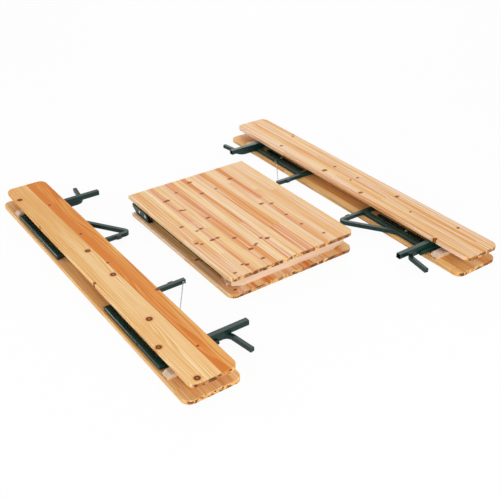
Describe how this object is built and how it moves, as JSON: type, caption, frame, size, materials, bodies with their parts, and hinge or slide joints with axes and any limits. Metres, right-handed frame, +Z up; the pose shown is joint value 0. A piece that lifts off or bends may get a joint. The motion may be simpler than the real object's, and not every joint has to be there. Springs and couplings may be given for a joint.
{
  "type": "folding table and bench set",
  "caption": "Folding wooden table, folded in half, between folding benches with loose backrests, all with green tubular steel leg frames folded in.",
  "frame": {"origin": "centre of the set's footprint on the floor", "axes": "+X from the left bench to the right bench, +Y along the boards away from the viewer, +Z up"},
  "size_m": [1.63, 1.77, 0.105],
  "materials": {
    "bench_wood": "clear satin lacquer",
    "table_wood": "clear satin lacquer",
    "batten_wood": "planed",
    "green_steel": "satin powder coat",
    "tie_wire": "zinc plated",
    "zinc_fastener": "zinc plated",
    "black_cap": "matte"
  },
  "bodies": {
    "seats_and_lower_leaf": {"left_seat": "bench_wood", "left_a_seat_batten": "batten_wood", "left_b_seat_batten": "batten_wood", "right_seat": "bench_wood", "right_a_seat_batten": "batten_wood", "right_b_seat_batten": "batten_wood", "bench_hinge_clips": "green_steel", "seat_stays": "green_steel", "board_screws": "zinc_fastener", "lower_leaf": "table_wood", "lower_leaf_batten": "batten_wood", "lower_fold_brackets": "green_steel", "lower_table_legs": "green_steel", "lower_leg_crossbars": "green_steel", "lower_leg_caps": "black_cap", "lower_leg_clips": "green_steel", "fold_pins": "zinc_fastener"},
    "left_backrest": {"left_backrest_board": "bench_wood", "left_backrest_screws": "zinc_fastener", "left_a_upright": "green_steel", "left_b_upright": "green_steel"},
    "left_a_leg_frame": {"left_a_front_leg": "green_steel", "left_a_rail": "green_steel", "left_a_rear_leg": "green_steel", "left_a_foot_bar": "green_steel", "left_a_brace": "green_steel", "left_a_feet": "black_cap"},
    "left_b_leg_frame": {"left_b_front_leg": "green_steel", "left_b_rail": "green_steel", "left_b_rear_leg": "green_steel", "left_b_foot_bar": "green_steel", "left_b_tie_rod": "tie_wire", "left_b_collar": "green_steel", "left_b_feet": "black_cap"},
    "right_backrest": {"right_backrest_board": "bench_wood", "right_backrest_screws": "zinc_fastener", "right_a_upright": "green_steel", "right_b_upright": "green_steel"},
    "right_a_leg_frame": {"right_a_front_leg": "green_steel", "right_a_rail": "green_steel", "right_a_rear_leg": "green_steel", "right_a_foot_bar": "green_steel", "right_a_brace": "green_steel", "right_a_feet": "black_cap"},
    "right_b_leg_frame": {"right_b_front_leg": "green_steel", "right_b_rail": "green_steel", "right_b_rear_leg": "green_steel", "right_b_foot_bar": "green_steel", "right_b_tie_rod": "tie_wire", "right_b_collar": "green_steel", "right_b_feet": "black_cap"},
    "upper_leaf_half": {"upper_leaf": "table_wood", "upper_leaf_batten": "batten_wood", "upper_fold_brackets": "green_steel", "upper_table_legs": "green_steel", "upper_leg_crossbars": "green_steel", "upper_leg_caps": "black_cap", "upper_leg_clips": "green_steel", "upper_leg_clip_screws": "zinc_fastener"}
  },
  "joints": [
    {"name": "left_backrest_lift", "type": "slide", "parent": "seats_and_lower_leaf", "child": "left_backrest", "axis": [0, 0, 1], "range_m": [0, 0.8]},
    {"name": "left_a_leg_fold", "type": "hinge", "parent": "seats_and_lower_leaf", "child": "left_a_leg_frame", "pos_m": [-0.6925, 0.675, 0.0308], "axis": [-1, 0, 0], "range_deg": [0, 90]},
    {"name": "left_b_leg_fold", "type": "hinge", "parent": "seats_and_lower_leaf", "child": "left_b_leg_frame", "pos_m": [-0.6925, -0.675, 0.0308], "axis": [1, 0, 0], "range_deg": [0, 90]},
    {"name": "right_backrest_lift", "type": "slide", "parent": "seats_and_lower_leaf", "child": "right_backrest", "axis": [0, 0, 1], "range_m": [0, 0.8]},
    {"name": "right_a_leg_fold", "type": "hinge", "parent": "seats_and_lower_leaf", "child": "right_a_leg_frame", "pos_m": [0.6925, -0.675, 0.0308], "axis": [1, 0, 0], "range_deg": [0, 90]},
    {"name": "right_b_leg_fold", "type": "hinge", "parent": "seats_and_lower_leaf", "child": "right_b_leg_frame", "pos_m": [0.6925, 0.675, 0.0308], "axis": [-1, 0, 0], "range_deg": [0, 90]},
    {"name": "table_fold", "type": "hinge", "parent": "seats_and_lower_leaf", "child": "upper_leaf_half", "pos_m": [0.0085, 0.436, 0.0525], "axis": [-1, 0, 0], "range_deg": [0, 180]}
  ],
  "couplings": [
    {"joint": "left_a_leg_fold", "follows": "left_backrest_lift", "rad_per_m": 1.9635},
    {"joint": "left_b_leg_fold", "follows": "left_backrest_lift", "rad_per_m": 1.9635},
    {"joint": "right_a_leg_fold", "follows": "right_backrest_lift", "rad_per_m": 1.9635},
    {"joint": "right_b_leg_fold", "follows": "right_backrest_lift", "rad_per_m": 1.9635}
  ]
}
